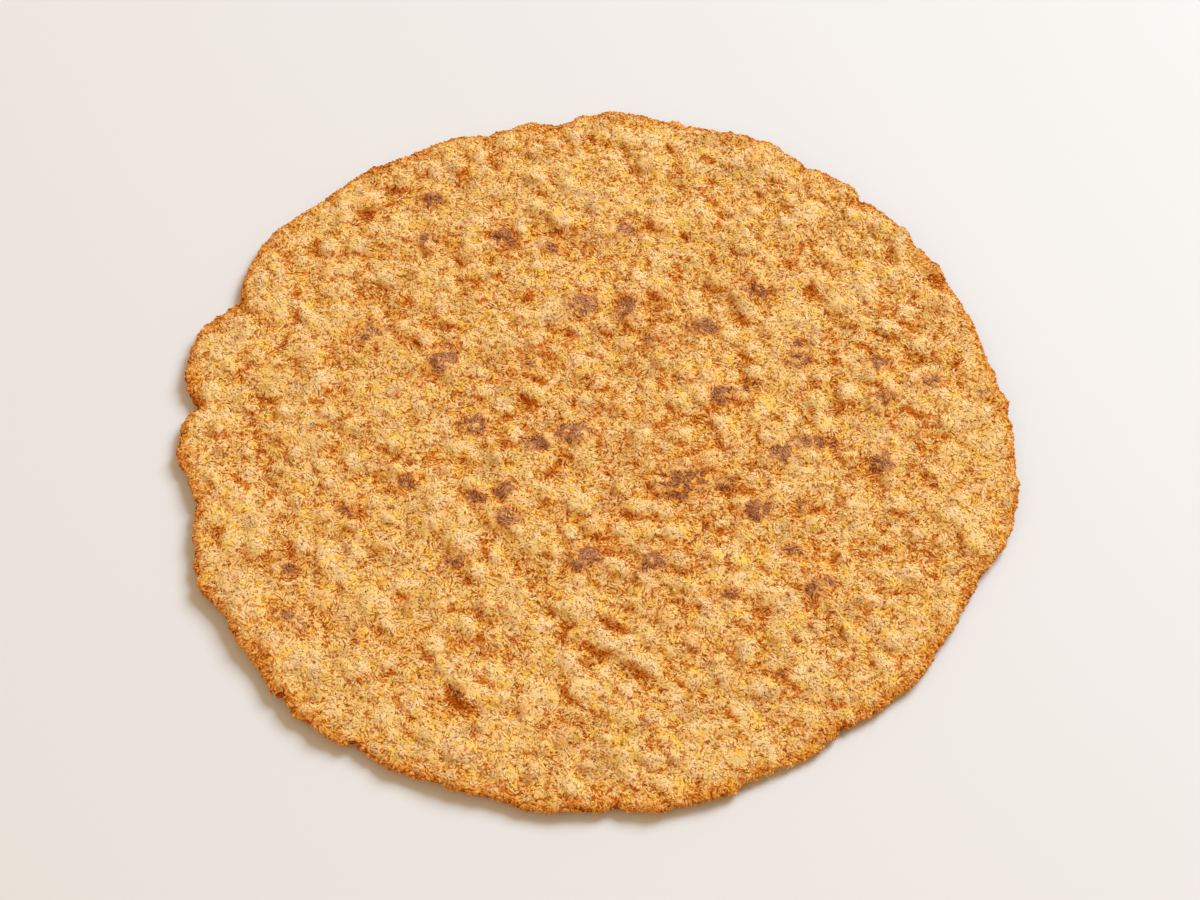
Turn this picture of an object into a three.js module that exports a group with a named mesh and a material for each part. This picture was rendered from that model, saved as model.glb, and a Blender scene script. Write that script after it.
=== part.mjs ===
// A hand-rolled tortilla of coarse seed meal, toasted and lying flat on its underside.
// Millimetres, +Z up, +X to the right and +Y to the back. The origin is under the middle
// of the bread, on the surface that it lies on.

import * as THREE from 'three';

// Driving dimensions.
const WIDTH = 184;                  // side to side, X
const DEPTH = 182.6;                // front to back, Y
const THICKNESS = 2.74;             // rolled thickness in the hollows between the lumps
const TALLEST = 4.3;                // heights above this are pressed down
const PRESSED = 0.5;                // share of such a height that is lost
const RIM_ROUNDING = 1.9;           // how far in from the rim the top starts to turn down
const RIM_LIFT = 0.75;              // most that the rim curls up off the surface below
const FLAT_SHARE = 0.8;             // share of the radius over which the underside is flat

// The outline: a mean radius, a pull to one side, and the lobes and notches of a rim that
// was pressed out by hand. Angles are in degrees, anticlockwise from +X.
const MEAN_RADIUS = 90.3;
const PULL = 0.7;
const PULL_ANGLE = 200;
const RAGGEDNESS = 0.28;            // how far a single rim point strays
// Each row: the angle of the middle, half its width in degrees, how far it stands out.
const RIM_LOBES = [
  [348, 8, 2.9],                    // broad bulge on the right
  [2, 6.5, 1.6],
  [21, 4, 0.5],
  [31, 3, 0.7],
  [40, 3, 0.9],
  [52, 3, 0.8],
  [66, 5.5, 0.9],
  [86, 4.5, 1.3],                   // peak at the back
  [96, 3, -1.9],                    // notch beside it
  [106, 5, -1.3],
  [117, 4, -0.4],
  [128.5, 4.5, 0.9],
  [144.5, 6.5, 2.3],
  [156, 2.4, -1.1],
  [166.5, 6, 2.8],                  // left lobes, with deep notches between them
  [175.5, 2.2, -0.9],
  [181.5, 4.5, 0.9],
  [191, 4.5, -1.6],
  [204, 4, 1.9],
  [217, 4, 0.6],
  [228, 7.5, 1.9],
  [242, 3, 0.8],
  [253, 6, -0.4],
  [262, 3.5, 1.0],
  [281, 7, 0.5],
  [293, 4.5, -1.2],
  [300, 3, -0.4],
  [305.5, 4, -1.7],                 // small notches at the front right
  [312, 3, -0.7],
  [324, 4.5, -0.5],
  [332, 5, -0.9],
];

// Relief of the toasted face. Raised lumps lie side by side like small cobbles.
const LUMP_PITCH = 6;
const LUMP_RADIUS = [2.6, 5];
const LUMP_RISE = [0.15, 0.85];
const LUMP_STRETCH = 1.7;           // longest lump, as a share of its width
const WAVE_RISE = 0.22;             // slow waves left by the rolling
const WAVE_LENGTH = 34;

// Broad mounds under the lumps: x, y, half length, half width, turn in degrees, rise.
const MOUNDS = [
  [-46, 57, 7, 5, 100, 0.6],
  [-26, 61, 11, 5.5, 95, 0.7],
  [-61, 28, 9, 5.5, 60, 0.5],
  [-85, 23, 8, 5, 65, 0.6],
  [-36, 37, 6, 4.5, 90, 0.6],
  [-22, 26, 6.5, 5, 30, 0.6],
  [-10, 33, 4.5, 4, 0, 0.7],
  [-18, 43, 5.5, 3.6, 130, 0.8],
  [-5, 63, 7, 5, 60, 0.6],
  [-38, 75, 7, 4, 30, 0.5],
  [-54, 66, 6, 4, 45, 0.5],
  [-66, 7, 4, 7, 0, 0.5],
  [-46, 8, 7, 4.5, 20, 0.5],
  [-34, -1, 5, 6, 0, 0.5],
  [-6, 19, 6, 5, 0, 0.4],
  [-75, -19, 9, 5, 100, 0.5],
  [-73, -43, 6, 4.5, 120, 0.7],
  [-61, -8, 8, 4.5, 10, 0.5],
  [-33, -21, 12, 4, 118, 0.9],
  [-46, -44, 7, 5, 105, 0.7],
  [-14, -25, 6, 5.5, 60, 0.7],
  [-17, -8, 9, 3.8, 95, 0.5],
  [-54, -36, 8, 3.6, 125, 0.6],
  [-64, -54, 8, 4.5, 140, 0.5],
  [-27, -61, 9, 3.8, 125, 0.8],
  [-34, -73, 9, 4.5, 155, 0.5],
  [-16, -47, 6, 4, 150, 0.6],
  [-3, -42, 6, 4.5, 120, 0.8],
  [7, 64, 6, 5.5, 0, 0.8],
  [24, 61, 9, 4.5, 110, 0.7],
  [12, 44, 7, 6, 0, 0.6],
  [14, 76, 7, 4.5, 60, 0.5],
  [22, 15, 9, 4, 80, 0.6],
  [44, 33, 5.5, 5, 60, 0.8],
  [57, 38, 8, 5.5, 150, 0.7],
  [47, 58, 6, 5, 0, 0.5],
  [68, 13, 6, 5, 150, 0.6],
  [66, 27, 7, 5.5, 0, 0.5],
  [75, 51, 8, 3.4, 125, 0.7],
  [14, -3, 6, 5.5, 0, 0.5],
  [10, -24, 9, 5.5, 0, 0.6],
  [37, -42, 10, 4, 140, 0.8],
  [22, -49, 10, 7, 20, 0.6],
  [7, -56, 11, 2.8, 142, 0.8],
  [0, -63, 6, 4.5, 140, 0.7],
  [43, -58, 5.5, 6.5, 0, 0.5],
  [79, -20, 7, 6, 30, 0.7],
  [46, -12, 6, 5, 0, 0.5],
  [13, -78, 12, 5.5, 165, 0.6],
];

// Blisters that stand above the lumps: x, y, radius, rise.
const BLISTERS = [
  [-34, 18, 4, 0.8],
  [-27, 2, 3.6, 0.7],
  [-13, -4, 4, 0.7],
  [-4, 0, 4.4, 0.6],
  [-50, 26, 6, 0.5],
  [-39, 52, 3.4, 0.7],
  [-38, 65, 3.4, 0.7],
  [-21, 53, 3.4, 0.7],
  [6, 55, 3.8, 0.8],
  [17, 58, 3.8, 0.6],
  [-3, 34, 4.4, 0.7],
  [7, 33, 4, 0.6],
  [12, 24, 3.4, 0.7],
  [24, 28, 4.4, 0.7],
  [34, 38, 4.6, 0.7],
  [45, 20, 3.6, 0.8],
  [28, 9, 3.8, 0.7],
  [63, 10, 4.2, 0.8],
  [63, 18, 3.4, 0.6],
  [74, 13, 3.6, 0.7],
  [43, -4, 5.6, 0.9],
  [63, -6, 4.6, 0.9],
  [18, -12, 7.5, 0.7],
  [35, -20, 4, 0.7],
  [-19, -21, 4.2, 0.7],
  [-2, -32, 4.2, 0.8],
  [11, -33, 4.2, 0.8],
  [-29, -32, 4, 0.7],
  [47, -40, 4.8, 0.8],
  [27, -41, 4.2, 0.6],
  [-64, -46, 4.6, 0.6],
  [79, 5, 4, 0.7],
  [6, -68, 3.8, 0.7],
  [23, -72, 3.8, 0.7],
  [-15, -64, 3.8, 0.7],
  [-87, 4, 3.8, 0.6],
];

// Creases pressed into the face: x, y of one end, x, y of the other, depth.
const CREASES = [
  [-48, -49, -41, -55, 0.8],
  [-42, -42, -43, -50, 0.5],
  [-35, -27, -27, -36, 1],
  [-19, -29, -13, -38, 0.8],
  [-15, -44, -6, -49, 0.9],
  [-6, -49, 1, -55, 0.5],
  [-35, -60, -27, -68, 1],
  [4, -48, 17, -60, 0.9],
  [2, -58, 12, -63, 0.8],
  [-78, 14, -72, 9, 0.7],
  [-60, -42, -54, -48, 0.5],
  [29, -6, 32, -11, 0.8],
  [51, 0, 55, -4, 0.7],
  [58, -7, 61, -13, 0.9],
  [60, 11, 65, 6, 0.8],
  [66, 48, 70, 43, 0.9],
  [72, 44, 78, 39, 0.6],
  [48, 38, 54, 30, 0.6],
  [34, 41, 37, 33, 0.9],
  [-22, 55, -17, 47, 0.8],
  [-24, 47, -21, 42, 0.7],
  [-47, 66, -45, 61, 0.7],
  [-32, 68, -31, 63, 0.6],
  [-27, 78, -22, 72, 0.9],
  [-50, 37, -43, 33, 0.6],
  [-66, 38, -62, 34, 0.6],
  [-54, 48, -52, 44, 0.6],
  [-16, 38, -15, 32, 0.7],
  [76, -29, 78, -35, 1],
  [43, -38, 47, -47, 1],
  [31, -18, 33, -24, 0.7],
  [-35, -5, -32, -10, 0.7],
  [-88, 8, -83, 7, 1],
  [-81, 38, -80, 30, 0.7],
  [31, 26, 32, 16, 0.5],
  [78, 28, 79, 19, 0.5],
  [39, -73, 41, -79, 0.7],
  [50, -50, 52, -57, 0.5],
];
const CREASE_WIDTH = 1.7;

// Rows of the rounded rim below its top edge: how far out, and how far up from the foot.
const RIM_PROFILE = [
  [0.82, 0.84],
  [1, 0.38],
  [0, 0],
];

// Fineness of the faceted surface: a ring has six more points than the ring inside it.
const TOP_RINGS = 39;
const UNDER_RINGS = 13;

const SEED = 7421;
const ORIGIN = new THREE.Vector2();

// Seeded draw of numbers from 0 to 1.
function makeRandom(seed) {
  let state = seed;
  return () => {
    state = (state + 0x6d2b79f5) | 0;
    let mixed = Math.imul(state ^ (state >>> 15), 1 | state);
    mixed = (mixed + Math.imul(mixed ^ (mixed >>> 7), 61 | mixed)) ^ mixed;
    return ((mixed ^ (mixed >>> 14)) >>> 0) / 4294967296;
  };
}

const random = makeRandom(SEED);
const between = ([low, high]) => THREE.MathUtils.lerp(low, high, random());

// Smallest turn from one angle to another, in degrees.
function turnBetween(angle, other) {
  return Math.abs(THREE.MathUtils.euclideanModulo(angle - other + 180, 360) - 180);
}

// Radius of the hand-pressed rim at an angle in degrees, without its raggedness.
function rimRadius(angle) {
  let radius = MEAN_RADIUS + PULL * Math.cos(THREE.MathUtils.degToRad(angle - PULL_ANGLE));
  for (const [middle, halfWidth, rise] of RIM_LOBES) {
    radius += rise * Math.exp(-((turnBetween(angle, middle) / halfWidth) ** 4));
  }
  return radius;
}

// Rim points all the way round, scaled and moved so that the outline fills its box.
function makeRim(count) {
  const points = [];
  for (let i = 0; i < count; i += 1) {
    const angle = (360 * i) / count;
    const radius = rimRadius(angle) + between([-RAGGEDNESS, RAGGEDNESS]);
    const turn = THREE.MathUtils.degToRad(angle);
    points.push(new THREE.Vector2(Math.cos(turn), Math.sin(turn)).multiplyScalar(radius));
  }
  const box = new THREE.Box2().setFromPoints(points);
  const middle = box.getCenter(new THREE.Vector2());
  const fit = new THREE.Vector2(WIDTH, DEPTH).divide(box.getSize(new THREE.Vector2()));
  return points.map((point) => point.sub(middle).multiply(fit));
}

// Lumps on a jittered grid, each a small ellipse turned its own way.
function makeLumps() {
  const lumps = [];
  const rowPitch = LUMP_PITCH * Math.sqrt(0.75);
  const rows = Math.ceil(DEPTH / 2 / rowPitch);
  const columns = Math.ceil(WIDTH / 2 / LUMP_PITCH);
  for (let row = -rows; row <= rows; row += 1) {
    for (let column = -columns; column <= columns; column += 1) {
      const jitter = [-LUMP_PITCH / 2, LUMP_PITCH / 2];
      const turn = random() * Math.PI;
      lumps.push({
        x: (column + (row % 2) / 2) * LUMP_PITCH + between(jitter),
        y: row * rowPitch + between(jitter),
        cos: Math.cos(turn),
        sin: Math.sin(turn),
        radius: between(LUMP_RADIUS),
        stretch: between([1, LUMP_STRETCH]),
        rise: between(LUMP_RISE),
      });
    }
  }
  return lumps;
}

const LUMPS = makeLumps();

// Height of the tallest lump over a point: domes that meet in sharp valleys.
function lumpHeight(x, y) {
  let height = 0;
  for (const lump of LUMPS) {
    const dx = x - lump.x;
    const dy = y - lump.y;
    const along = (dx * lump.cos + dy * lump.sin) / (lump.radius * lump.stretch);
    const across = (dy * lump.cos - dx * lump.sin) / lump.radius;
    height = Math.max(height, lump.rise * (1 - along * along - across * across));
  }
  return height;
}

// Slow waves: three trains of ripples that cross.
function waveHeight(x, y) {
  const turn = (2 * Math.PI) / WAVE_LENGTH;
  const first = Math.sin(turn * x + 1.1);
  const second = Math.sin(turn * (0.7 * y - 0.6 * x) + 2.7);
  const third = Math.sin(turn * (1.2 * y + 0.5 * x));
  return (WAVE_RISE * (first + second + third)) / 3;
}

// Height of the tallest mound over a point: flat-topped and steeper towards its foot.
function moundHeight(x, y) {
  const point = new THREE.Vector2(x, y);
  let height = 0;
  for (const [middleX, middleY, halfLength, halfWidth, turn, rise] of MOUNDS) {
    const middle = new THREE.Vector2(middleX, middleY);
    const away = point.clone().sub(middle).rotateAround(ORIGIN, THREE.MathUtils.degToRad(-turn));
    const share = Math.hypot(away.x / halfLength, away.y / halfWidth);
    height = Math.max(height, rise * Math.exp(-(share ** 3)));
  }
  return height;
}

function blisterHeight(x, y) {
  let height = 0;
  for (const [middleX, middleY, radius, rise] of BLISTERS) {
    const away = Math.hypot(x - middleX, y - middleY) / radius;
    height = Math.max(height, rise * Math.exp(-(away ** 3)));
  }
  return height;
}

// Depth of the creases at a point, by its distance to each crease's line.
function creaseDepth(x, y) {
  const point = new THREE.Vector3(x, y, 0);
  let depth = 0;
  for (const [startX, startY, endX, endY, deepest] of CREASES) {
    const start = new THREE.Vector3(startX, startY, 0);
    const end = new THREE.Vector3(endX, endY, 0);
    const nearest = new THREE.Line3(start, end).closestPointToPoint(point, true, new THREE.Vector3());
    depth += deepest * Math.exp(-((nearest.distanceTo(point) / CREASE_WIDTH) ** 2));
  }
  return depth;
}

// Height of the curled underside: flat in the middle, lifting to the rim by an amount
// that changes slowly with the angle.
function underHeight(x, y, share, turn) {
  const curl = THREE.MathUtils.smoothstep(share, FLAT_SHARE, 1);
  const swing = 0.5 + 0.3 * Math.sin(2 * turn + 0.6) + 0.2 * Math.sin(5 * turn + 2.1);
  return RIM_LIFT * curl * swing;
}

function topHeight(x, y, share, turn) {
  const raised = lumpHeight(x, y) + waveHeight(x, y) + moundHeight(x, y) + blisterHeight(x, y);
  const height = THICKNESS + raised - creaseDepth(x, y);
  const pressed = PRESSED * Math.max(0, height - TALLEST);
  return underHeight(x, y, share, turn) + height - pressed;
}

function addTriangle(skin, corners, facesDown) {
  const [a, b, c] = corners;
  skin.triangles.push(...(facesDown ? [a, c, b] : [a, b, c]));
}

// Points of a disc, ring by ring from its middle. `place` gives a point by its ring and
// by its share of the way round. The result is where each ring starts.
function addRings(skin, rings, place) {
  const starts = [skin.points.length];
  skin.points.push(place(0, 0));
  for (let ring = 1; ring <= rings; ring += 1) {
    starts.push(skin.points.length);
    for (let i = 0; i < 6 * ring; i += 1) {
      skin.points.push(place(ring, i / (6 * ring)));
    }
  }
  return starts;
}

// Triangles between two rings, or between the middle point and the first ring. A ring is
// told by its first point and by the number of its points.
function joinRings(skin, inner, innerCount, outer, outerCount, facesDown = false) {
  let i = 0;
  for (let o = 0; o < outerCount; o += 1) {
    const near = inner + (i % innerCount);
    const next = outer + ((o + 1) % outerCount);
    addTriangle(skin, [outer + o, next, near], facesDown);
    const wanted = Math.round(((o + 1) * innerCount) / outerCount);
    if (wanted > i && innerCount > 1) {
      addTriangle(skin, [next, inner + ((i + 1) % innerCount), near], facesDown);
      i = wanted;
    }
  }
}

function joinDisc(skin, starts, facesDown = false) {
  for (let ring = 1; ring < starts.length; ring += 1) {
    joinRings(skin, starts[ring - 1], Math.max(6 * (ring - 1), 1), starts[ring], 6 * ring, facesDown);
  }
}

// The whole bread as one closed skin: top, rounded rim, and the coarser underside.
function makeTortilla() {
  const skin = { points: [], triangles: [] };
  const rimCount = 6 * TOP_RINGS;
  const rim = makeRim(rimCount);

  const rimAt = (round) => {
    const along = round * rimCount;
    const low = Math.floor(along);
    return rim[low % rimCount].clone().lerp(rim[(low + 1) % rimCount], along - low);
  };

  // A point of the top or the underside, at a share of the way out to the rounded rim.
  const faceAt = (share, round, height) => {
    const edge = rimAt(round);
    const { x, y } = edge.multiplyScalar(share * (1 - RIM_ROUNDING / edge.length()));
    return new THREE.Vector3(x, y, height(x, y, share, 2 * Math.PI * round));
  };

  const top = addRings(skin, TOP_RINGS, (ring, round) => faceAt(ring / TOP_RINGS, round, topHeight));
  joinDisc(skin, top);

  let above = top[TOP_RINGS];
  for (const [outward, upward] of RIM_PROFILE) {
    const row = skin.points.length;
    for (let i = 0; i < rimCount; i += 1) {
      const foot = faceAt(1, i / rimCount, underHeight);
      const height = THREE.MathUtils.lerp(foot.z, skin.points[top[TOP_RINGS] + i].z, upward);
      const { x, y } = new THREE.Vector2(foot.x, foot.y).lerp(rim[i], outward);
      skin.points.push(new THREE.Vector3(x, y, height));
    }
    joinRings(skin, above, rimCount, row, rimCount);
    above = row;
  }

  const underAt = (ring, round) => faceAt(ring / UNDER_RINGS, round, underHeight);
  const under = addRings(skin, UNDER_RINGS - 1, underAt);
  joinDisc(skin, under, true);
  joinRings(skin, under[UNDER_RINGS - 1], 6 * (UNDER_RINGS - 1), above, rimCount, true);
  return skin;
}

function toGeometry(skin) {
  const geometry = new THREE.BufferGeometry().setFromPoints(skin.points);
  geometry.setIndex(skin.triangles);
  geometry.computeVertexNormals();
  return geometry;
}

const toasted = new THREE.MeshStandardMaterial({ color: 0xd29a54, roughness: 0.9, metalness: 0 });

const tortilla = new THREE.Mesh(toGeometry(makeTortilla()), toasted);
tortilla.name = 'tortilla';

const model = new THREE.Group();
model.add(tortilla);

export default model;
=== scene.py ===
"""Looks of a hand-rolled tortilla of coarse seed meal, toasted in patches and lying flat."""

import math

import bmesh
import bpy
import numpy as np
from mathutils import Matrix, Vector, noise


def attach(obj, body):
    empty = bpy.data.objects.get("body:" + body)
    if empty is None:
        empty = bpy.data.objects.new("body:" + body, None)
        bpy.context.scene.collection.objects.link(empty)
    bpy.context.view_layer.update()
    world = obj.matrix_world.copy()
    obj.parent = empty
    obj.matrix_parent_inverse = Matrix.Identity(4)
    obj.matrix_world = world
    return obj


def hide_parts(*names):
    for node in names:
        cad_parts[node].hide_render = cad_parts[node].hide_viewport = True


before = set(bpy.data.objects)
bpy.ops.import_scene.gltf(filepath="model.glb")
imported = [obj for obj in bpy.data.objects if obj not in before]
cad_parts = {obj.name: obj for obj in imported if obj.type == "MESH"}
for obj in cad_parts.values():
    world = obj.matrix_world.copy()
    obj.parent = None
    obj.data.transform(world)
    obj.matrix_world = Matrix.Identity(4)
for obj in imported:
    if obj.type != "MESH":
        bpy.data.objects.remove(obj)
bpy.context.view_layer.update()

MM = 0.001
SEED = 5210

# ---- Camera, light and floor ----

CAMERA_AIM = Vector((0.79, -2.8, 0.0)) * MM     # the point of the floor in the middle of the picture
CAMERA_DISTANCE = 592.9 * MM
CAMERA_ELEVATION = math.radians(57.5)
CAMERA_LENS = 81.0                              # on a sensor 36 wide
FLOOR_SIZE = 6.0
FLOOR_TONE = (224, 228, 232)
WORLD_TONE = (255, 228, 190)
WORLD_STRENGTH = 0.5

# Each row: name, azimuth, elevation, distance, size, power, colour. Azimuth 0 is to the
# right and 90 to the back.
LAMPS = [
    ("key", 45, 40, 2.4, 1.2, 64, (235, 244, 255)),
    ("fill", 225, 35, 1.6, 1.2, 4.8, (255, 190, 116)),
]

# ---- The bread's surface ----

WELD = 1e-6
CUTS = 3                    # new points along each edge of a facet
EASE_ROUNDS = 2             # rounds of smoothing over the facets
RELIEF_ROUNDS = 34          # how far round a point its mean surface reaches, in rounds
SIDE_ROUNDS = 4             # the same for the side of the rim
RIM_ROUNDS = 45             # how far in from its side the bread is browner, in rounds
HOLLOW_ROUNDS = 30          # hollows deeper than the surface this far round
FILLED = 0.4                # are filled by this share
MOUND_ROUNDS = (12, 150)    # broad mounds: the rounds for their own height and for the ground's
FACE_FROM = 1.6             # the toasted face lies above this height, in mm
SOFT_TOP = 4.0              # heights above this are pressed down, in mm
PRESSED = 0.8               # share of such a height that is lost

# Finer relief on the solid's surface: each with its pitch and its height in mm.
LUMPS = (4.9, 0.6)          # pads side by side
NUBS = (2.9, 0.3)           # smaller pads on them
SWELLS = (4.0, 0.25)        # slow rises and dips
FRAYED = (2.2, 0.3)         # ragged grain of the rim's side
SUNK = 0.6                  # how far the face is lowered for all of this, in mm
TOAST_RISE = 0.3            # how far a toasted spot stands out, in mm
CELLS = 128                 # side of the table that the pads are drawn from

# Small raised knobs all over the face, which brown first.
KNOBS = 430
KNOB_APART = 5.2            # least distance from one to the next, in mm
KNOB_REACH = 86.0           # they lie within this distance of the middle, in mm
KNOB_SIZE = (1.1, 2.4)      # their half widths, in mm
KNOB_RISE = 1.15            # the tallest one's height, in mm
BROWNED_KNOBS = 0.3         # how far every second one is browned
SHADED_SIDE = 225.0            # the side of a knob away from the key lamp, where its shade is painted, in degrees

# Sharp notches in the rim: direction from the middle in degrees, and depth in mm.
NOTCH_WIDTH = 1.3
NOTCH_DOWN = 0.4            # shares of the depth that a notch goes into the surface
NOTCH_IN = 0.8              # and in towards the middle
NOTCHES = [
    (35, 0.7),
    (46, 0.6),
    (56.5, 0.9),
    (76.5, 0.6),
    (96, 0.6),
    (107, 0.5),
    (156, 1.0),
    (175.5, 1.4),
    (192, 1.0),
    (225, 0.5),
    (237, 0.8),
    (272.5, 0.6),
    (305, 0.9),
]

# Raised spots that the dry heat toasted brown: x, y, length, width (mm), turn, strength.
TOASTED = [
    (-34, 19, 4.4, 3.0, 60, 1.0),
    (-27, 2, 4.0, 3.2, 0, 0.7),
    (-13, -3, 3.6, 2.4, 0, 0.9),
    (-5, 0, 5.0, 3.0, 20, 0.8),
    (-50, 26, 8.0, 5.0, 30, 0.45),
    (-39, 52, 3.6, 3.0, 90, 0.6),
    (-38, 64, 3.4, 2.8, 0, 0.6),
    (-21, 53, 4.2, 3.0, 120, 0.7),
    (-10, 50, 3.0, 2.4, 0, 0.5),
    (6, 55, 3.4, 3.0, 0, 0.6),
    (-3, 34, 4.0, 3.4, 60, 0.8),
    (7, 33, 4.4, 3.6, 90, 0.65),
    (-14, 19, 8.0, 5.0, 30, 0.35),
    (12, 24, 3.0, 2.6, 0, 0.6),
    (24, 28, 4.8, 2.6, -15, 0.75),
    (36, 38, 6.0, 3.6, -20, 0.55),
    (45, 19, 3.4, 2.6, 0, 0.8),
    (45, 24, 1.6, 1.6, 0, 0.9),
    (28, 10, 4.0, 3.2, 0, 0.7),
    (34, 12, 3.0, 2.2, 60, 0.6),
    (63, 18, 3.6, 3.0, 0, 0.6),
    (64, 9, 3.2, 2.8, 0, 0.6),
    (74, 13, 3.2, 2.6, 0, 0.6),
    (40, -6, 3.2, 2.4, 0, 1.0),
    (47, -3, 6.0, 2.0, 5, 0.9),
    (62, -8, 3.0, 4.4, 0, 0.7),
    (18, -13, 8.0, 6.0, 30, 0.6),
    (28, -13, 3.4, 2.4, 0, 0.6),
    (35, -20, 3.6, 2.6, 40, 1.0),
    (45, -19, 3.4, 2.4, 0, 0.5),
    (-20, -15, 2.6, 2.2, 0, 0.9),
    (-19, -22, 3.0, 3.0, 0, 0.9),
    (-26, -17, 5.0, 2.2, 0, 0.5),
    (-41, -13, 2.8, 2.2, 0, 0.6),
    (-53, -20, 4.0, 2.6, 0, 0.5),
    (-2, -32, 3.8, 3.0, 40, 1.0),
    (12, -33, 3.6, 2.8, 60, 0.95),
    (-30, -32, 3.2, 2.6, 0, 0.6),
    (47, -39, 4.4, 3.4, 60, 0.8),
    (27, -41, 4.4, 2.6, 0, 0.55),
    (-66, -34, 4.0, 3.0, 0, 0.5),
    (-64, -47, 5.0, 3.0, -30, 0.6),
    (42, -30, 3.0, 2.4, 0, 0.55),
    (38, -60, 3.4, 2.4, 40, 0.45),
    (-28, -65, 2.4, 2.0, 0, 0.5),
]

# ---- The meal ----

# Each kind: how many, (least, most) in mm for length, width and thickness, how far a grain
# leans, and how deep it sits, as a share of its thickness.
FLAKES = (14500, ((0.9, 1.8), (0.3, 0.48), (0.1, 0.18)), 0.16, 0.2)
SCALES = (14500, ((0.6, 1.1), (0.34, 0.56), (0.1, 0.16)), 0.16, 0.2)
SLIVERS = (8500, ((0.7, 1.4), (0.18, 0.28), (0.1, 0.18)), 0.16, 0.2)
GRITS = (6000, ((0.7, 1.4), (0.6, 1.0), (0.4, 0.7)), 0.3, 0.4)
SPECKS = (4800, ((0.3, 0.7), (0.16, 0.28), (0.1, 0.2)), 0.3, 0.1)

SWIRL = 2.4                 # how soon the lie of the flakes turns, in mm
LIE = 105.0                 # the way that most of them lie, in degrees
STRAY = 0.7                 # how far a single flake strays from it, in radians

# Tones from a dark fibre to a pale one: of plain, oily and floury meal, of meal that is lightly
# and then well browned (also used for the painted shade), of toasted spots, and of bran.
PLAIN = [(0.0, (158, 78, 4)), (0.3, (212, 150, 58)), (0.5, (235, 196, 122)), (1.0, (243, 213, 152))]
OILY = [(0.0, (154, 78, 0)), (0.3, (216, 148, 26)), (0.5, (239, 194, 78)), (1.0, (246, 212, 122))]
FLOURY = [(0.0, (154, 80, 14)), (0.3, (217, 153, 78)), (0.5, (239, 205, 154)), (1.0, (247, 222, 184))]
AMBER = [(0.0, (138, 52, 0)), (0.3, (198, 106, 14)), (0.5, (227, 150, 56)), (1.0, (242, 190, 116))]
BROWNED_AND_SHADE = [(0.0, (98, 32, 0)), (0.3, (158, 70, 2)), (0.5, (197, 104, 22)), (1.0, (232, 160, 80))]
PLUM = [(0.0, (74, 26, 6)), (0.3, (116, 62, 32)), (0.5, (152, 94, 60)), (1.0, (200, 144, 104))]
BRAN = [(0.0, (96, 40, 10)), (0.5, (142, 68, 16)), (1.0, (188, 104, 32))]

random = np.random.default_rng(SEED)


def tone(red, green, blue):
    """A colour as it shows on a screen, 0 to 255, as the linear light that a shader takes."""
    shown = np.array([red, green, blue]) / 255
    linear = np.where(shown <= 0.04045, shown / 12.92, ((shown + 0.055) / 1.055) ** 2.4)
    return (*linear.tolist(), 1.0)


# ---- Shader expressions ----


class Wire:
    """A socket of a shader tree. Sums, products and powers of wires add the Math nodes."""

    def __init__(self, tree, socket):
        self.tree = tree
        self.socket = socket

    def node(self, kind, settings=None, inputs=None, output=0):
        """Adds a node, with its settings first and then its sockets' values or links."""
        made = self.tree.nodes.new(kind)
        for name, value in (settings or {}).items():
            if name == "stops":
                place_stops(made.color_ramp, value)
            else:
                setattr(made, name, value)
        for name, value in (inputs or {}).items():
            if isinstance(value, Wire):
                self.tree.links.new(value.socket, made.inputs[name])
            else:
                made.inputs[name].default_value = value
        return Wire(self.tree, made.outputs[output])

    def maths(self, operation, *values):
        return self.node("ShaderNodeMath", {"operation": operation}, dict(enumerate(values)))

    def __add__(self, other):
        return self.maths("ADD", self, other)

    def __mul__(self, other):
        return self.maths("MULTIPLY", self, other)

    def __sub__(self, other):
        return self.maths("SUBTRACT", self, other)

    def __rsub__(self, other):
        return self.maths("SUBTRACT", other, self)

    __radd__ = __add__
    __rmul__ = __mul__

    def between(self, low, high):
        """0 below one value, 1 above the other, and smooth from one to the other."""
        settings = {"interpolation_type": "SMOOTHSTEP"}
        inputs = {"Value": self, "From Min": low, "From Max": high}
        return self.node("ShaderNodeMapRange", settings, inputs)

    def mix(self, first, second):
        """Colour that goes from the first to the second as this value goes from 0 to 1."""
        settings = {"data_type": "RGBA", "clamp_factor": True}
        return self.node("ShaderNodeMix", settings, {0: self, 6: first, 7: second}, output=2)

    def ramp(self, stops):
        """Colour read off a row of stops by this value."""
        return self.node("ShaderNodeValToRGB", {"stops": stops}, {"Fac": self})

    def value(self, name):
        """A value that the mesh carries at its points."""
        return self.node("ShaderNodeAttribute", {"attribute_name": name}, output=2)

    def here(self):
        """The place on the piece, in its own coordinates."""
        return self.node("ShaderNodeTexCoord", output=3)

    def cloud(self, where, scale, detail, distortion=0.0):
        """Soft noise, about 0.5 in the mean."""
        inputs = {"Vector": where, "Scale": scale, "Detail": detail, "Distortion": distortion}
        return self.node("ShaderNodeTexNoise", None, inputs)


def place_stops(ramp, stops):
    """Sets a colour ramp to the given (place, colour) stops."""
    while len(ramp.elements) < len(stops):
        ramp.elements.new(0.5)
    for element, (place, colour) in zip(ramp.elements, stops):
        element.position = place
        element.color = tone(*colour)


def new_look(name):
    """A material with only its Principled shader, and a wire to build with."""
    look = bpy.data.materials.new(name)
    look.use_nodes = True
    shader = look.node_tree.nodes["Principled BSDF"]
    return look, shader, Wire(look.node_tree, None)


def link(wire, shader, name):
    wire.tree.links.new(wire.socket, shader.inputs[name])


# ---- Surface as arrays ----


def points_of(mesh):
    places = np.empty(len(mesh.vertices) * 3)
    mesh.vertices.foreach_get("co", places)
    return places.reshape(-1, 3)


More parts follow.
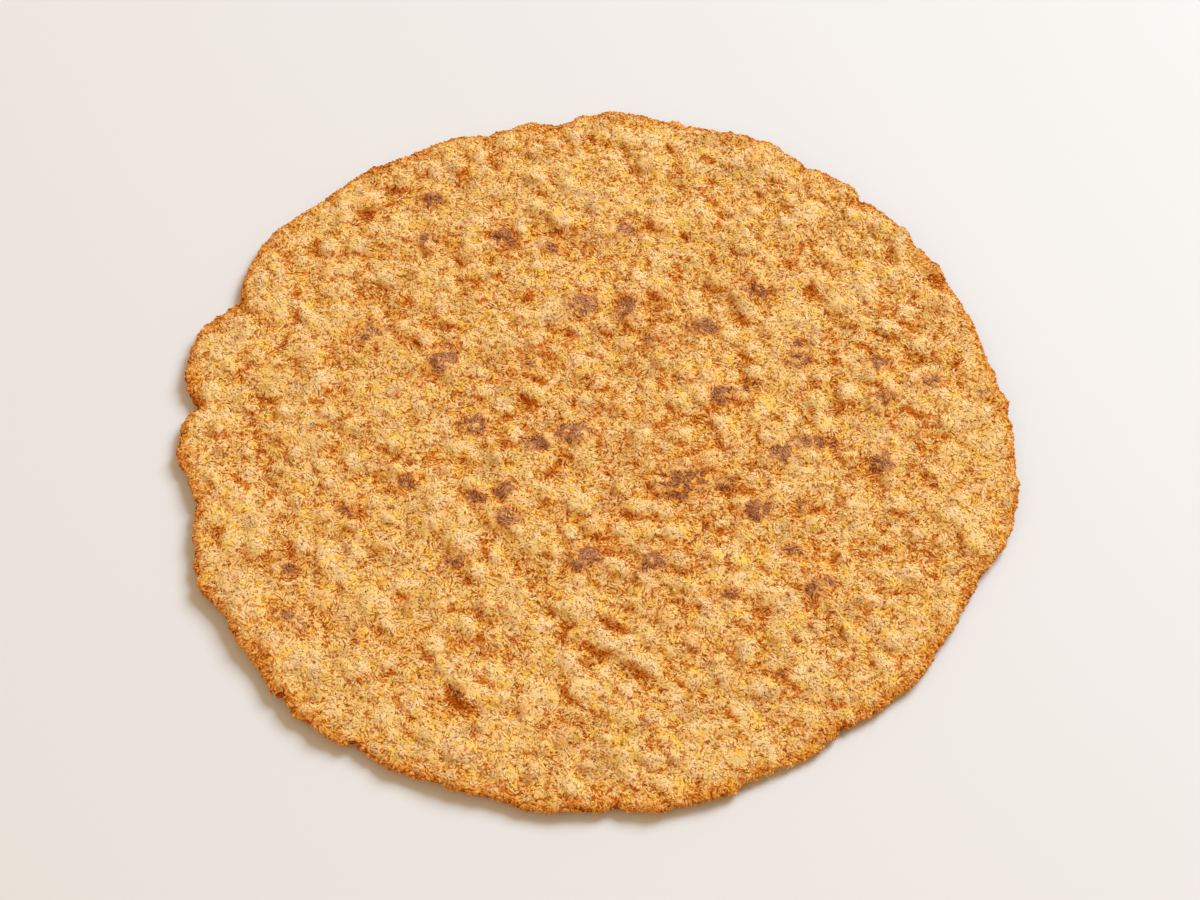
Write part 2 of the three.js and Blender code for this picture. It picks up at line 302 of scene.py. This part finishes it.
def normals_of(mesh):
    directions = np.empty(len(mesh.vertices) * 3)
    mesh.vertices.foreach_get("normal", directions)
    return directions.reshape(-1, 3)


def edges_of(mesh):
    ends = np.empty(len(mesh.edges) * 2, dtype=np.int64)
    mesh.edges.foreach_get("vertices", ends)
    return ends.reshape(-1, 2)


def triangles_of(mesh):
    mesh.calc_loop_triangles()
    corners = np.empty(len(mesh.loop_triangles) * 3, dtype=np.int64)
    mesh.loop_triangles.foreach_get("vertices", corners)
    return corners.reshape(-1, 3)


def carried_by(mesh, name):
    values = np.empty(len(mesh.vertices), dtype=np.float32)
    mesh.attributes[name].data.foreach_get("value", values)
    return values


def store(mesh, name, values):
    layer = mesh.attributes.new(name, "FLOAT", "POINT")
    layer.data.foreach_set("value", values.astype(np.float32))


def evened(values, ends, rounds):
    """Values at the points after each became the mean of its neighbours, round after round."""
    count = len(values)
    share = np.bincount(ends.ravel(), minlength=count)
    columns = values.reshape(count, -1).T.copy()
    for _ in range(rounds):
        for column in columns:
            total = np.bincount(ends[:, 0], column[ends[:, 1]], count)
            total += np.bincount(ends[:, 1], column[ends[:, 0]], count)
            column[:] = total / share
    return columns.T.reshape(values.shape)


def unit(rows):
    return rows / np.linalg.norm(rows, axis=1)[:, None]


def show(name, mesh):
    """Puts a mesh into the scene as an object of the same name, at the origin."""
    piece = bpy.data.objects.new(name, mesh)
    bpy.context.scene.collection.objects.link(piece)
    return piece


# ---- Relief ----


def drift(places, pitch, seed, octaves=2):
    """Slow random change from place to place, about -1 to 1."""
    shift = Vector((seed, seed * 1.7, -seed * 0.6))
    return np.array([noise.fractal(Vector(p) / pitch + shift, 0.9, 2.0, octaves) for p in places])


def pads(places, pitch, seed, warp=0.35):
    """Rounded pads of about one size side by side: 0 in the creases between, up to 1 on top."""
    own = np.random.default_rng(seed)
    jitter, tallness = own.random((CELLS, CELLS, 2)), own.uniform(0.3, 1.0, (CELLS, CELLS))
    flat = (places[:, :2] + places[:, 2:] * 0.6) / pitch
    flat = flat + warp * np.stack([drift(places, pitch * 0.8, seed + i) for i in (0.3, 0.6)], axis=1)
    home = np.floor(flat).astype(int)
    near, next_near, tall = np.full((3, len(places)), 9.0)
    for step in np.ndindex(3, 3):
        cell = home + np.array(step) - 1
        key = tuple((cell % CELLS).T)
        away = np.linalg.norm(flat - cell - jitter[key], axis=1)
        closer = away < near
        next_near = np.where(closer, near, np.minimum(next_near, away))
        tall = np.where(closer, tallness[key], tall)
        near = np.minimum(near, away)
    rise = np.clip((next_near - near) / 0.8, 0, 1)
    return rise * (2 - rise) * tall


def on_face(places):
    return places[:, 2] > FACE_FROM * MM


def spots_at(places, spots, edge):
    """Height of a set of round-topped spots on the face; a high `edge` makes their sides steep."""
    height = np.zeros(len(places))
    x, y = places[:, 0] / MM, places[:, 1] / MM
    for middle_x, middle_y, length, width, turn, strength in spots:
        cosine, sine = math.cos(math.radians(turn)), math.sin(math.radians(turn))
        along = ((x - middle_x) * cosine + (y - middle_y) * sine) / length
        across = ((y - middle_y) * cosine - (x - middle_x) * sine) / width
        height = np.maximum(height, strength * np.exp(-((along**2 + across**2) ** edge)))
    return height * on_face(places)


def sow_knobs():
    """Spots for small raised knobs all over the face, none too close to another."""
    own = np.random.default_rng(SEED + 1)
    knobs = []
    while len(knobs) < KNOBS:
        x, y = own.uniform(-KNOB_REACH, KNOB_REACH, 2)
        crowded = any(math.hypot(x - knob[0], y - knob[1]) < KNOB_APART for knob in knobs)
        if math.hypot(x, y) > KNOB_REACH or crowded:
            continue
        width = own.uniform(*KNOB_SIZE)
        length = width * own.uniform(1.0, 1.6)
        turn = own.uniform(0, 180)
        knobs.append((x, y, length, width, turn, own.uniform(0.35, 1.0)))
    return knobs


def shaded_feet_of(knobs):
    """Painted shade: rust-dark spots, each at the foot of a knob, on its side away from the key lamp.
    """
    own = np.random.default_rng(SEED + 2)
    spots = []
    for x, y, _, width, _, _ in knobs:
        way, away = own.normal(SHADED_SIDE, 40), width * own.uniform(0.8, 1.1)
        place = (x + away * math.cos(math.radians(way)), y + away * math.sin(math.radians(way)))
        around = (width * own.uniform(0.9, 1.3), width * own.uniform(0.4, 0.65))
        spots.append((*place, *around, way + 90, own.uniform(0.3, 1.1)))
    return spots


def notched(places):
    """How deep the notches cut into the rim at each place, in mm."""
    x, y = places[:, 0] / MM, places[:, 1] / MM
    depth = np.zeros(len(places))
    for direction, cut in NOTCHES:
        way = math.radians(direction)
        ahead = x * math.cos(way) + y * math.sin(way) > 0
        across = y * math.cos(way) - x * math.sin(way)
        depth += ahead * cut * np.exp(-((across / NOTCH_WIDTH) ** 2))
    return depth


# ---- The bread ----


def eased_copy(node, name):
    """A finer copy of the solid's surface, with its facets smoothed away."""
    shape = bmesh.new()
    shape.from_mesh(node.data)
    bmesh.ops.remove_doubles(shape, verts=shape.verts, dist=WELD)
    bmesh.ops.subdivide_edges(shape, edges=shape.edges, cuts=CUTS, use_grid_fill=True)
    every_way = {"use_axis_x": True, "use_axis_y": True, "use_axis_z": True}
    for _ in range(EASE_ROUNDS):
        bmesh.ops.smooth_vert(shape, verts=shape.verts, factor=0.5, **every_way)
    mesh = bpy.data.meshes.new(name)
    shape.to_mesh(mesh)
    shape.free()
    return mesh


def fine_lift(places, side):
    """Height of the lumps, the nubs and the rough grain on the solid's surface, in metres."""
    rough = 0.85 + 0.4 * drift(places, 14 * MM, 3.0)
    lumps = LUMPS[1] * MM * pads(places, LUMPS[0] * MM, 11) * rough
    nubs = NUBS[1] * MM * pads(places, NUBS[0] * MM, 23) * rough
    swells = SWELLS[1] * MM * drift(places, SWELLS[0] * MM, 7.0, 3)
    frayed = FRAYED[1] * MM * side * drift(places, FRAYED[0] * MM, 17.0, 2)
    return lumps + nubs + swells + frayed


def relief_of(places, directions, ends):
    """How far each point stands out of the mean surface round it, in mm."""
    away = ((places - evened(places, ends, RELIEF_ROUNDS)) * directions).sum(axis=1) / MM
    return away - evened(away, ends, RELIEF_ROUNDS)


def mounds_of(places, ends):
    """How far the face round each point stands out of the wider ground, in mm."""
    top = on_face(places) * 1.0
    eased = evened(places[:, 2], ends, MOUND_ROUNDS[0])
    around = evened(np.stack([eased * top, top], axis=1), ends, MOUND_ROUNDS[1])
    return top * (eased - around[:, 0] / np.maximum(around[:, 1], 0.05)) / MM


def make_bread(node):
    """The dressed bread: the solid's own surface, eased over its facets, with finer lumps on it."""
    mesh = eased_copy(node, "bread")
    places, directions, ends = points_of(mesh), normals_of(mesh), edges_of(mesh)
    side = np.clip((evened(1 - np.abs(directions[:, 2]), ends, SIDE_ROUNDS) - 0.2) / 0.5, 0, 1)
    rim = np.clip(5 * evened(side, ends, RIM_ROUNDS) - 0.1, 0, 1)
    cuts = notched(places) * rim
    hollow = np.maximum(0, evened(places[:, 2], ends, HOLLOW_ROUNDS) - places[:, 2])
    places[:, 2] += FILLED * hollow * (1 - rim) * on_face(places)

    sown = sow_knobs()
    knobs = spots_at(places, sown, 2.0)
    browned = BROWNED_KNOBS * spots_at(places, sown[::2], 2.0)
    toast = np.maximum(spots_at(places, TOASTED, 1.0), browned)
    # Painted shade: rust-dark spots at each knob's foot on its side away from the key lamp, and in
    # the notches.
    rust = spots_at(places, shaded_feet_of(sown), 1.2) * np.clip(1 - 1.2 * knobs, 0, 1) + 0.7 * cuts

    raised = MM * (KNOB_RISE * knobs + TOAST_RISE * toast)
    lift = fine_lift(places, side) + raised - SUNK * MM
    places = places + directions * (lift - NOTCH_DOWN * MM * cuts)[:, None]
    places -= unit(places * (1.0, 1.0, 0.0)) * (NOTCH_IN * MM * cuts * rim)[:, None]
    places[:, 2] -= PRESSED * np.maximum(0, places[:, 2] - SOFT_TOP * MM)
    places[:, 2] = np.maximum(places[:, 2], 0.0)
    mesh.vertices.foreach_set("co", places.ravel())
    mesh.update()

    store(mesh, "relief", relief_of(places, normals_of(mesh), ends) * (1 - 0.7 * rim))
    store(mesh, "mound", mounds_of(places, ends) * (1 - side))
    store(mesh, "side", side)
    store(mesh, "rim", rim)
    store(mesh, "lie", math.radians(LIE) + 4 * drift(places, SWIRL * MM, 41.0, 1))
    store(mesh, "toast", np.clip(toast * (0.8 + 0.9 * drift(places, 1.6 * MM, 31.0, 3)), 0, 1))
    store(mesh, "rust", rust)
    mesh.shade_smooth()
    return show("bread", mesh)


# ---- Flakes of meal ----


class Ground:
    """The bread's surface, ready to be sown: where a seed can fall, and what lies there."""

    def __init__(self, mesh):
        carried = ("relief", "mound", "toast", "side", "rim", "lie", "rust")
        self.corners = triangles_of(mesh)
        self.places = points_of(mesh)
        self.directions = normals_of(mesh)
        self.values = {name: carried_by(mesh, name) for name in carried}
        self.values["top"] = (self.directions[:, 2] > -0.3) * 1.0
        a, b, c = (self.places[self.corners[:, i]] for i in range(3))
        self.areas = np.linalg.norm(np.cross(b - a, c - a), axis=1) / 2

    def sow(self, count, favour):
        """Places spread evenly over the surface, more where `favour` is high."""
        weight = favour(self.values)
        reach = np.cumsum(self.areas * weight[self.corners].mean(axis=1))
        steps = (np.arange(count) + random.random(count)) / count * reach[-1]
        corners = self.corners[np.minimum(np.searchsorted(reach, steps), len(reach) - 1)]
        shares = random.dirichlet((1, 1, 1), count)
        places = (self.places[corners] * shares[..., None]).sum(axis=1)
        up = unit((self.directions[corners] * shares[..., None]).sum(axis=1))
        values = {name: (read[corners] * shares).sum(axis=1) for name, read in self.values.items()}
        return places, up, values


def grain_shape(sides, rows):
    """A closed grain one unit in radius, long along X once it is scaled."""
    shape = bmesh.new()
    bmesh.ops.create_uvsphere(shape, u_segments=sides, v_segments=rows, radius=1)
    bmesh.ops.triangulate(shape, faces=shape.faces)
    corners = np.array([v.co[:] for v in shape.verts])[:, [2, 0, 1]]
    faces = np.array([[v.index for v in f.verts] for f in shape.faces])
    shape.free()
    return corners, faces


def scatter(ground, name, shape, count, sizes, tilt, sink, favour, shade):
    """Sows many copies of one small shape over the bread and joins them into one piece.

    count, sizes, tilt and sink are a kind of meal, favour says where more of it falls, and shade
    draws its tones. The grains lie the way the meal was rolled, which swirls from place to place.
    """
    corners, faces = shape
    places, up, values = ground.sow(count, favour)
    lean = unit(up + tilt * random.normal(size=(count, 3)))
    turn = values["lie"] + random.normal(0, STRAY, count)
    grain = np.stack([np.cos(turn), np.sin(turn), random.normal(0, 0.2, count)], axis=1)
    along = unit(grain - lean * (grain * lean).sum(axis=1)[:, None])
    across = np.cross(lean, along)
    length, width, thick = (random.uniform(*pair, count) * MM / 2 for pair in sizes)
    length *= 1 - 0.45 * values["side"]
    bend = random.normal(0, 0.35, count)
    curl = random.uniform(0.0, 0.9, count)

    arch = corners[None, :, 0] ** 2
    x = corners[None, :, 0] * length[:, None]
    y = corners[None, :, 1] * width[:, None] + bend[:, None] * width[:, None] * arch
    z = corners[None, :, 2] * thick[:, None] - curl[:, None] * thick[:, None] * arch
    base = places + up * (thick * (1 - 2 * sink))[:, None]
    made = base[:, None] + x[..., None] * along[:, None] + y[..., None] * across[:, None]
    made = made + z[..., None] * lean[:, None]
    made[..., 2] = np.maximum(made[..., 2], 0.0)

    step = len(corners)
    joined = (faces[None] + (np.arange(count) * step)[:, None, None]).reshape(-1, 3)
    mesh = bpy.data.meshes.new(name)
    mesh.from_pydata(made.reshape(-1, 3), [], joined.tolist())
    own = {
        "tone": shade(values, count),
        "toast": values["toast"] * random.uniform(0.6, 1.5, count),
        "hue": random.normal(0, 1, count),
        "scorch": random.normal(0, 1, count),
    }
    for kept in ("relief", "mound", "side", "rim", "rust"):
        own[kept] = values[kept]
    for kept, each in own.items():
        store(mesh, kept, np.repeat(each, step))
    mesh.shade_smooth()
    return show(name, mesh)


def flake_tone(values, count):
    # Painted light and shade: flakes paler on the lumps and mounds, darker in the hollows.
    tones = random.normal(0.64, 0.1, count) + 0.15 * values["relief"] + 0.16 * values["mound"]
    return np.clip(tones - 0.12 * values["rim"], 0, 1)


def sliver_tone(values, count):
    # Painted light and shade: slivers paler on the lumps, darker in the hollows.
    return np.clip(random.uniform(0.18, 0.54, count) + 0.12 * values["relief"], 0, 1)


def bran_tone(values, count):
    return random.random(count)


def mostly_top(values):
    return 0.12 + 0.88 * values["top"]


def on_rim(values):
    return 0.05 + values["side"]


def on_top(values):
    return values["top"]


# ---- Finishes ----


def meal_colour(wire, level, hue, scorch):
    """Colour of the meal, with its patches, its toasted spots, painted light on its lumps and mounds,
    and painted shade in its hollows, its notches and at the knobs' feet.

    level goes from 0, dark, to 1, pale. hue and scorch, about -1 to 1, are a flake's own bent
    from golden to floury and from pale to rusty.
    """
    where = wire.here()
    # Relief and mounds paint light and shade: higher places paler, hollows rustier.
    relief = wire.value("relief") * 0.13 + wire.value("mound") * 0.08
    burnt = wire.value("toast")
    rim, rust = wire.value("rim"), wire.value("rust")
    dark = (0.5 - level) * 0.1
    blotch_and_shade = wire.cloud(where, 560.0, 2.0, 0.6) * 0.5 + wire.cloud(where, 120.0, 1.0) * 0.25 + 0.09
    # The blotches hold random browning, the toast, and painted shade from the hollows and the knobs'
    # feet.
    blotch_and_shade = blotch_and_shade - relief + rust * 0.28 + burnt * 0.16 + scorch * 0.018 + dark
    # Floury meal is given more on the lumps: painted light.
    floury = (wire.cloud(where, 320.0, 2.0) + relief * 0.4 - dark + hue * 0.02).between(0.52, 0.62)
    oily = (wire.cloud(where, 380.0, 2.0) + dark - hue * 0.02).between(0.5, 0.6)
    mauve = (wire.cloud(where, 190.0, 1.0, 0.5) + dark + hue * 0.01).between(0.56, 0.66)
    fleck = (wire.cloud(where, 1050.0, 1.0, 0.4) + blotch_and_shade * 0.6 + dark).between(0.84, 0.93)
    toast = (burnt + dark * 1.5).between(0.2, 0.5)
    colour = (oily * 0.8).mix(level.ramp(PLAIN), level.ramp(OILY))
    colour = (floury * 0.6).mix(colour, level.ramp(FLOURY))
    colour = (mauve * 0.28).mix(colour, level.ramp(PLUM))
    colour = ((blotch_and_shade + rim * 0.17).between(0.48, 0.6) * 0.75).mix(colour, level.ramp(AMBER))
    colour = ((blotch_and_shade + rim * 0.05).between(0.57, 0.69) * 0.85).mix(colour, level.ramp(BROWNED_AND_SHADE))
    colour = (burnt.between(0.06, 0.3) * 0.7).mix(colour, level.ramp(AMBER))
    colour = (fleck * 0.75).mix(colour, (level - 0.1).ramp(BROWNED_AND_SHADE))
    return (toast * 0.95).mix(colour, ((level - 0.5) * 1.3 + 0.5).ramp(PLUM))


def bread_look():
    """Baked meal: fibres side by side, made pale on the lumps and mounds by painted light and rusty
    in the hollows by painted shade.
    """
    look, shader, wire = new_look("baked meal")
    where = wire.here()
    # Painted light and shade: paler on the lumps and mounds, darker in the hollows.
    relief = wire.value("relief") * 0.15 + wire.value("mound") * 0.16
    across = wire.value("lie") + math.pi / 2
    strands = {"Vector": where, "Scale": 620.0, "Frequency": 2.2, "Anisotropy": 1.0, 4: across}
    fibre = wire.node("ShaderNodeTexGabor", {"gabor_type": "2D"}, strands)
    grain = wire.cloud(where, 1500.0, 3.0, 0.6)
    level = 0.54 + relief - wire.value("rim") * 0.1 + (fibre - 0.5) + (grain - 0.5) * 0.9
    hue, scorch = (wire.cloud(where, scale, 1.0) * 8.0 - 4.0 for scale in (1100.0, 700.0))
    link(meal_colour(wire, level, hue, scorch), shader, "Base Color")
    shader.inputs["Roughness"].default_value = 0.75
    shader.inputs["Specular IOR Level"].default_value = 0.03
    height = fibre + grain * 0.6
    bump = {"Strength": 1.0, "Distance": 0.11 * MM, "Height": height}
    link(wire.node("ShaderNodeBump", None, bump), shader, "Normal")
    return look


def flake_look(name, stops=None):
    """Meal flakes, each of its own tone: browned where the bread is, or by their own stops."""
    look, shader, wire = new_look(name)
    own = wire.value("tone")
    if stops:
        colour = own.ramp(stops)
    else:
        colour = meal_colour(wire, own, wire.value("hue"), wire.value("scorch"))
    link(colour, shader, "Base Color")
    shader.inputs["Roughness"].default_value = 0.6
    shader.inputs["Specular IOR Level"].default_value = 0.05
    return look


def dress(piece, look):
    piece.data.materials.append(look)
    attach(piece, "root")


# ---- Stage ----


def make_floor():
    floor_shape = bmesh.new()
    bmesh.ops.create_grid(floor_shape, x_segments=1, y_segments=1, size=FLOOR_SIZE / 2)
    mesh = bpy.data.meshes.new("floor")
    floor_shape.to_mesh(mesh)
    floor_shape.free()
    look, shader, _ = new_look("plain floor")
    shader.inputs["Base Color"].default_value = tone(*FLOOR_TONE)
    shader.inputs["Roughness"].default_value = 0.6
    mesh.materials.append(look)
    show("floor", mesh)


def add_lamp(name, azimuth, elevation, distance, size, power, colour):
    """A square soft lamp aimed at the middle."""
    lamp = bpy.data.lights.new(name, "AREA")
    lamp.size = size
    lamp.energy = power
    lamp.color = tone(*colour)[:3]
    holder = show(name, lamp)
    turn, rise = math.radians(azimuth), math.radians(elevation)
    aside = Vector((math.cos(turn) * math.cos(rise), math.sin(turn) * math.cos(rise), math.sin(rise)))
    holder.location = aside * distance
    holder.rotation_euler = aside.to_track_quat("Z", "Y").to_euler()


def make_light():
    world = bpy.data.worlds.new("soft room")
    world.use_nodes = True
    background = world.node_tree.nodes["Background"]
    background.inputs["Color"].default_value = tone(*WORLD_TONE)
    background.inputs["Strength"].default_value = WORLD_STRENGTH
    bpy.context.scene.world = world
    for row in LAMPS:
        add_lamp(*row)


def make_camera():
    camera = bpy.data.cameras.new("camera")
    camera.lens = CAMERA_LENS
    holder = show("camera", camera)
    back = Vector((0, -math.cos(CAMERA_ELEVATION), math.sin(CAMERA_ELEVATION)))
    holder.location = CAMERA_AIM + back * CAMERA_DISTANCE
    holder.rotation_euler = back.to_track_quat("Z", "Y").to_euler()
    bpy.context.scene.camera = holder


# ---- Making ----

bpy.context.scene.view_settings.view_transform = "Standard"
make_camera()
make_light()
make_floor()

bread = make_bread(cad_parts["tortilla"])
dress(bread, bread_look())
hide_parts("tortilla")

# Each row: name, shape, kind of meal, where it falls, its tones and, if any, its own stops.
sliver = grain_shape(4, 2)
nub = grain_shape(4, 3)
meal = [
    ("meal_flakes", sliver, FLAKES, mostly_top, flake_tone, None),
    ("meal_scales", sliver, SCALES, mostly_top, flake_tone, None),
    ("dark_slivers", sliver, SLIVERS, mostly_top, sliver_tone, None),
    ("rim_grits", nub, GRITS, on_rim, flake_tone, None),
    ("bran_specks", nub, SPECKS, on_top, bran_tone, BRAN),
]
ground = Ground(bread.data)
for name, shape, kind, favour, shade, stops in meal:
    piece = scatter(ground, name, shape, *kind, favour, shade)
    dress(piece, flake_look(name, stops))
